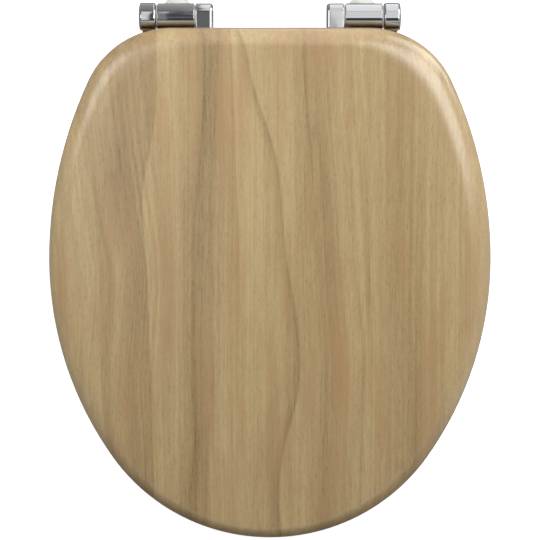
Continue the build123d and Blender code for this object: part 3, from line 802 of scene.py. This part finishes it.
class SEAT_OT_castings(bpy.types.Operator):
    """Make the chrome hinge castings: posts, lid leaves and ring leaves"""

    bl_idname = "seat.castings"
    bl_label = "Hinge Castings"

    def execute(self, context):
        hinges = context.scene.seat_hinges
        chrome = plated("zinc_die_casting_chromium_plated", context.scene.seat_colours.chrome, rough=0.03,
                        spread=0.04, wave=0.02)
        for side in SIDES:
            self.post(hinges, side, chrome)
            self.leaf(hinges, side, "lid", "lid", self.lid_knuckle, chrome)
            self.leaf(hinges, side, "ring", "seat_ring", self.ring_knuckle, chrome)
        return {"FINISHED"}

    def post(self, hinges, side, chrome):
        """A barrel on a neck that sweeps out into a foot."""
        y, z = hinge_axis()
        name = f"hinge_post_{side}"
        low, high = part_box(name)
        x = middle_x(name)
        foot = low.z + hinges.foot_height
        long, deep = hinges.neck_length, hinges.neck_depth
        reach, width = hinges.foot_length - long, hinges.foot_depth - deep
        rows = [(share, low.z + rise) for share, rise in FOOT_EDGE]
        rows += [(share, foot + rise) for share, rise in FOOT_SWEEP] + [(0, z - NECK_END)]
        post = Shape().turned(sleeve(hinges.bore_radius, hinges.knuckle_radius, low.x, high.x,
                                     hinges.barrel_round, 4), along_x(y, z), closed=True)
        post.skin([[(x + p.x, p.y, level) for p in slot_outline(long + share * reach, deep + share * width)]
                   for share, level in rows])
        post.piece(f"post_{side}", "base", name, "chrome", chrome)

    def leaf(self, hinges, side, kind, board, knuckle, chrome):
        """A plate under a board, with countersunk holes, and the knuckle and the arm that carry it."""
        y, z = hinge_axis()
        name = f"{kind}_leaf_{side}"
        x, front = middle_x(name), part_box(name)[0].y
        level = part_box(board)[0].z
        under = level - hinges.leaf_thickness
        head, shank = hinges.screw_head, hinges.screw_radius
        outline = plate_outline(hinges.plate_width, hinges.plate_length, hinges.plate_corner,
                                (x, front + hinges.plate_length / 2))
        shape = Shape().prism(outline, along_z(0, 0), under, level, PLATE_EASE, FINE_EASE)
        sinks = Shape()
        for place in screw_places(name):
            sinks.turned([(head + HAIR + PAST, under - PAST), (head + HAIR, under),
                          (shank, under + head - shank), (shank, level + PAST)], along_z(*place), steps=32)
        end = y - front - hinges.plate_length + hinges.plate_corner
        arm, half = knuckle(hinges, SIDES[side], shape, x, under - z, level - z, end)
        shape.prism(arm, along_x(y, z), x - half, x + half, CAST_EASE, CAST_EASE)
        shape.piece(f"{kind}_arm_{side}", f"{kind}_body", name, "chrome", chrome, cutter=sinks)

    def lid_knuckle(self, hinges, way, shape, x, low, high, end):
        """Add a knuckle whose flat top slopes to the rear; returns its arm's outline and half its width."""
        radius, slope = hinges.knuckle_radius, hinges.arm_slope
        nose, crown = hinges.arm_nose, hinges.arm_crown
        fall, lean = tan(slope), 1 / cos(slope)
        start = high - radius * fall
        nose_up = start + (radius - nose) * fall - nose * lean
        crown_start = start - crown * lean
        spread = (radius - crown) ** 2 * lean**2 - crown_start**2
        crown_along = (-crown_start * fall - sqrt(spread)) / lean**2
        crown_up = crown_start + crown_along * fall
        back = atan2(crown_up, crown_along)
        section = arc((radius - nose, nose_up), nose, 0, pi / 2 + slope, 10)
        section += arc((crown_along, crown_up), crown, pi / 2 + slope, back, 8)
        section += arc((0, 0), radius, back, 2 * pi, 64)[1:]
        half = hinges.knuckle_length / 2
        ends = (hinges.arm_barrel, hinges.arm_free)
        shape.prism(section, along_x(*hinge_axis()), x - half, x + half, *ends[::-way], steps=8)
        corners = ((radius - nose, low), (end, low), (end, high), (radius - nose, high))
        return [Vector(corner) for corner in corners], half - hinges.arm_free

    def ring_knuckle(self, hinges, way, shape, x, low, high, end):
        """Add a knuckle that is domed at its free end; returns its arm's outline and half its width."""
        half, turn = hinges.knuckle_length / 2, hinges.cap_round
        radius, dome = hinges.cap_radius, hinges.cap_dome
        sphere = (radius**2 + dome**2) / (2 * dome)
        turn_out = sqrt((sphere - turn) ** 2 - (radius - turn) ** 2)
        lean = atan2(turn_out, radius - turn)
        profile = [Vector((HAIR, -half))] + arc((radius - turn, turn - half), turn, -pi / 2, 0, 8)
        profile += arc((radius - turn, half - sphere + turn_out), turn, 0, lean, 8)
        profile += arc((0, half - sphere), sphere, lean, pi / 2 - HAIR / sphere, 10)[1:]
        shape.turned([(p.x, x + way * p.y) for p in profile], along_x(*hinge_axis()))
        front, back, heel = hinges.web_front, hinges.web_back, hinges.web_round
        web = [Vector((front, 0)), Vector((-back, 0))]
        web += arc((heel - back, low + heel), heel, pi, 3 * pi / 2, 8)
        web += [Vector((end, low)), Vector((end, high))]
        web += arc((front + WEB_FILLET, high + WEB_FILLET), WEB_FILLET, 3 * pi / 2, pi, 5)
        return web, half - hinges.arm_inset


class SEAT_OT_screws(bpy.types.Operator):
    """Make the countersunk leaf screws with their cross recesses"""

    bl_idname = "seat.screws"
    bl_label = "Leaf Screws"

    def execute(self, context):
        hinges = context.scene.seat_hinges
        zinc = plated("steel_screw_zinc_plated", context.scene.seat_colours.zinc, rough=0.2, spread=0.12,
                      wave=0.004)
        for board in ("lid", "ring"):
            for side in SIDES:
                name = f"{board}_leaf_screws_{side}"
                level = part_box(name)[0].z
                shape = Shape()
                for turn, (x, y) in zip(SCREW_TURNS, screw_places(f"{board}_leaf_{side}")):
                    rings = self.rings(hinges, turn)
                    shape.skin([[(x + u, y + v, level + w) for u, v, w in ring] for ring in rings])
                shape.piece(f"{board}_screws_{side}", f"{board}_body", name, "screw_steel", zinc)
        return {"FINISHED"}

    def rings(self, hinges, start, steps=64):
        """Rings of a screw whose recess stands at an angle: up out of the recess, then up to the point."""
        long, wide = hinges.recess_reach, hinges.recess_width
        cross = []
        for u, v in circle(1, steps):
            a, b = abs(u) + 1e-9, abs(v) + 1e-9
            cross.append(max(min(long / a, wide / b), min(wide / a, long / b)))
        rings = [[(reach * share * u, reach * share * v, depth * hinges.recess_depth)
                  for reach, (u, v) in zip(cross, circle(1, steps, start))] for share, depth in RECESS]
        head, shank, length = hinges.screw_head, hinges.screw_radius, hinges.screw_length
        profile = ((head - EASE, 0), (head, FINE_EASE), (shank, head - shank),
                   (shank, SCREW_POINT * length), (HAIR, length))
        return rings + [[(u, v, along) for u, v in circle(radius, steps, start)]
                        for radius, along in profile]


class SEAT_OT_inner_parts(bpy.types.Operator):
    """Make the spacers, and finish the dampers and pins inside the barrels"""

    bl_idname = "seat.inner_parts"
    bl_label = "Spacers, Dampers and Pins"

    def execute(self, context):
        colours = context.scene.seat_colours
        nylon = moulded("nylon_stamped_spacer", colours.spacer, rough=0.4, grit=0.0004, glow=0.1)
        acetal = moulded("acetal_moulded_damper", colours.damper, rough=0.38, grit=0.0005)
        nitrile = moulded("nitrile_rubber_moulded_seal", colours.seal, rough=0.55, grit=0.0003)
        steel = plated("steel_pin_ground", colours.steel, rough=0.12, spread=0.08, wave=0.003)
        hole = context.scene.seat_fixings.spacer_hole
        kept = {"damper_seal": nitrile, "damper": acetal, "pivot_pin": steel}
        for name, part in sorted(frame["nodes"].items()):
            if name.startswith("spacer"):
                low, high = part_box(name)
                profile = sleeve(hole, (high.z - low.z) / 2, low.x, high.x, FINE_EASE)
                Shape().turned(profile, along_x(*hinge_axis()), closed=True).piece(
                    name + "_washer", part["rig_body"], name, "spacer_plastic", nylon)
                continue
            look = next((kept[start] for start in kept if name.startswith(start)), None)
            if look:
                for place in part.material_slots:
                    place.material = look
        return {"FINISHED"}


class SEAT_OT_fixings(bpy.types.Operator):
    """Make the gaskets, studs, cones, washers and wing nuts"""

    bl_idname = "seat.fixings"
    bl_label = "Pan Fixings"

    def execute(self, context):
        colours = context.scene.seat_colours
        zinc = plated("steel_stud_zinc_plated", colours.zinc, rough=0.2, spread=0.12, wave=0.004)
        rubber = moulded("epdm_rubber_moulded_gasket", colours.gasket, rough=0.6, grit=0.0005)
        nylon = moulded("nylon_moulded_clamp", colours.clamp, rough=0.4, grit=0.0006, glow=0.1)
        fixings = context.scene.seat_fixings
        for side in SIDES:
            self.gasket(fixings, side, rubber)
            self.stud(fixings, side, zinc)
            self.clamp(fixings, side, nylon)
        return {"FINISHED"}

    def gasket(self, fixings, side, rubber):
        """A flat pad in the shape of a foot, with a round hole."""
        name = f"foot_gasket_{side}"
        low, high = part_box(name)
        x = middle_x(name)
        outline = slot_outline(high.x - low.x, high.y - low.y)
        hole = [p.normalized() * fixings.gasket_hole for p in outline]
        rows = [(inset(outline, shrink), level) for shrink, level in rounded(low.z, high.z, EASE, EASE, 1)]
        rows += [(hole, high.z), (hole, low.z)]
        Shape().skin([[(x + p.x, p.y, level) for p in ring] for ring, level in rows], closed=True).piece(
            f"gasket_{side}", "base", name, "gasket_rubber", rubber)

    def stud(self, fixings, side, zinc, steps=40, per_turn=10):
        """A stud whose lower end carries a rolled thread, which runs out at the shank and the tip."""
        name = f"fixing_stud_{side}"
        low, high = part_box(name)
        x = middle_x(name)
        crest, root, pitch = fixings.thread_crest, fixings.thread_root, fixings.thread_pitch
        top, shank = -fixings.shank_length, fixings.shank_radius
        count = int((top - low.z) / pitch * per_turn)
        rings = []
        for row in range(count + 1):
            rise = (top - low.z) * row / count
            tip = min(crest, root - TIP_SINK + rise * TIP_SLOPE)
            run_out = min(1.0, (top - low.z - rise) / (2 * pitch))
            ring = []
            for k, (u, v) in enumerate(circle(1, steps)):
                wave = abs((rise / pitch - k / steps) % 1.0 - 0.5) * 2
                depth = min(1.0, max(0.0, (wave - THREAD_FLAT) / (1 - 2 * THREAD_FLAT)))
                radius = min(tip, crest - (crest - root) * depth * run_out)
                ring.append((x + radius * u, radius * v, low.z + rise))
            rings.append(ring)
        for radius, level in ((shank, top + HAIR), (shank, 0), (crest, HAIR), (crest, high.z)):
            rings.append([(x + u, v, level) for u, v in circle(radius, steps)])
        Shape().skin(rings).piece(f"stud_{side}", "base", name, "stud_steel", zinc)

    def clamp(self, fixings, side, nylon):
        """Cone, washer and wing nut, from the top down."""
        x = middle_x(f"fixing_stud_{side}")
        axis, bore = along_z(x, 0), fixings.bush_bore
        low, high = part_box(f"cone_bush_{side}")
        wide, narrow = (high.x - low.x) / 2, fixings.cone_top
        profile = [(bore, low.z)] + [(wide + step, low.z + rise) for step, rise in CONE_FOOT]
        profile += [(narrow + step, high.z + rise) for step, rise in CONE_RIM] + [(bore, high.z)]
        Shape().turned(profile, axis, closed=True).piece(
            f"cone_{side}", "base", f"cone_bush_{side}", "clamp_plastic", nylon)

        low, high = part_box(f"clamp_washer_{side}")
        profile = sleeve(bore, (high.x - low.x) / 2, low.z, high.z, WASHER_EASE)
        Shape().turned(profile, axis, closed=True).piece(
            f"washer_{side}", "base", f"clamp_washer_{side}", "clamp_plastic", nylon)

        low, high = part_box(f"wing_nut_{side}")
        hub, tall, corner = fixings.nut_radius, fixings.nut_height, fixings.wing_round
        span, drop, half = (high.x - low.x) / 2, high.z - low.z, fixings.wing_thickness / 2
        nut = Shape().turned(sleeve(bore, hub, high.z - tall, high.z, NUT_EASE), axis, closed=True)
        wing = [Vector((hub - WING_ROOT, -WING_GAP)), Vector((hub - WING_ROOT, WING_GAP - tall))]
        wing += arc((span - corner, corner - drop), corner, -pi / 2, 0, 8)
        wing += arc((span - corner, -drop / 2 - corner * 0.8), corner, 0, pi / 2, 8)
        for outline in ([Vector((-p.x, p.y)) for p in reversed(wing)], wing):
            nut.prism(outline, lambda u, v, w: (x + u, w, high.z + v), -half, half, CAST_EASE, CAST_EASE)
        nut.piece(f"wing_nut_{side}_moulding", "base", f"wing_nut_{side}", "clamp_plastic", nylon)


class SEAT_OT_studio(bpy.types.Operator):
    """Make the floor, the light and the camera"""

    bl_idname = "seat.studio"
    bl_label = "Studio"

    def execute(self, context):
        scene = context.scene
        studio = scene.seat_studio
        self.floor(scene, studio)
        self.sky(scene, studio)
        for name, (wide, deep, place, aim) in LAMPS.items():
            glow = studio.panel_glow * pi * wide * deep
            data = put(bpy.data.lights.new(name, "AREA"), shape="RECTANGLE", size=wide, size_y=deep,
                       energy=getattr(studio, name + "_power", glow))
            facing = (Vector(aim) - Vector(place)).to_track_quat("-Z", "Y").to_euler()
            # The left rear lamp lights the wood and isn't mirrored in it
            add(name, data, location=place, rotation_euler=facing, visible_camera=False,
                visible_glossy=name != "rear_left")
        back = Vector((0, sin(studio.tilt), cos(studio.tilt)))
        up = Vector((0, cos(studio.tilt), -sin(studio.tilt)))
        data = put(bpy.data.cameras.new("camera"), lens=studio.lens, sensor_width=36, clip_end=60)
        scene.camera = add("camera", data, rotation_euler=(-studio.tilt, 0, 0),
                           location=Vector(LOOK_AT) + back * studio.distance - up * LOOK_DROP)
        scene.view_settings.view_transform = "Standard"
        return {"FINISHED"}

    def floor(self, scene, studio):
        """Opal acrylic light table: matt and even, and lit a little from below, so shadows stay faint."""
        made, tree, place = material("acrylic_opal_light_table")
        cloudy = mottled(tree, place, scene.seat_colours.floor, 0.98, 1 / 3, 2.0)
        surface(made, {"Base Color": cloudy, "Roughness": 0.75, "Specular IOR Level": 0.2,
                       "Emission Color": grey(1), "Emission Strength": studio.table_glow})
        corners = [(u, v, cad_box[0].z - FLOOR_GAP) for u, v in circle(FLOOR_RADIUS, 72)]
        mesh = bpy.data.meshes.new("floor")
        mesh.from_pydata(corners, [], [tuple(range(len(corners)))])
        mesh.materials.append(made)
        floor = add("floor", mesh, visible_glossy=False, visible_diffuse=False)

    def sky(self, scene, studio):
        """Soft surroundings: light from above and behind, a dark flag over the lid, dim in front."""
        world = bpy.data.worlds.new("studio")
        world.use_nodes = True
        tree = world.node_tree
        tree.nodes.clear()
        x, y, z = node(tree, "SeparateXYZ", (node(tree, "TexCoord").outputs["Generated"],)).outputs
        lean = node(tree, "Math", (y, z), operation="ARCTAN2")
        glow = node(tree, "ValToRGB", (node(tree, "MapRange", (lean, -pi, pi)),))
        stops = glow.color_ramp.elements
        for stop, (_, value) in zip(stops, (SKY_BANDS[0], SKY_BANDS[-1])):
            stop.color = grey(value)
        for turn, value in SKY_BANDS[1:-1]:
            stops.new((turn + 180) / 360).color = grey(value)
        for start, whole, value in SKY_SIDES:
            beside = node(tree, "MapRange", (x, start, whole), interpolation_type="SMOOTHSTEP")
            glow = node(tree, "Mix", {"Factor": beside, "A": glow, "B": grey(value)},
                        data_type="RGBA").outputs[2]
        node(tree, "OutputWorld", (node(tree, "Background", (glow, studio.sky)),))
        scene.world = world


class SEAT_PT_panel(bpy.types.Panel):
    """Lists the steps that dress the seat"""

    bl_idname = "SEAT_PT_panel"
    bl_label = "Toilet Seat"
    bl_space_type = "VIEW_3D"
    bl_region_type = "UI"
    bl_category = "Seat"

    def draw(self, context):
        for step in STEPS:
            self.layout.operator(step.bl_idname)


GROUPS = {"seat_boards": SeatBoards, "seat_hinges": SeatHinges, "seat_fixings": SeatFixings,
          "seat_colours": SeatColours, "seat_studio": SeatStudio}
STEPS = (SEAT_OT_boards, SEAT_OT_bumpers, SEAT_OT_castings, SEAT_OT_screws, SEAT_OT_inner_parts,
         SEAT_OT_fixings, SEAT_OT_studio)


def register():
    for name, group in GROUPS.items():
        bpy.utils.register_class(group)
        setattr(bpy.types.Scene, name, PointerProperty(type=group))
    for made in STEPS + (SEAT_PT_panel,):
        bpy.utils.register_class(made)


def unregister():
    for made in reversed(STEPS + (SEAT_PT_panel,)):
        bpy.utils.unregister_class(made)
    for name, group in reversed(GROUPS.items()):
        delattr(bpy.types.Scene, name)
        bpy.utils.unregister_class(group)


def main():
    register()
    bpy.ops.seat.boards()
    bpy.ops.seat.bumpers()
    bpy.ops.seat.castings()
    bpy.ops.seat.screws()
    bpy.ops.seat.inner_parts()
    bpy.ops.seat.fixings()
    bpy.ops.seat.studio()


if __name__ == "__main__":
    main()
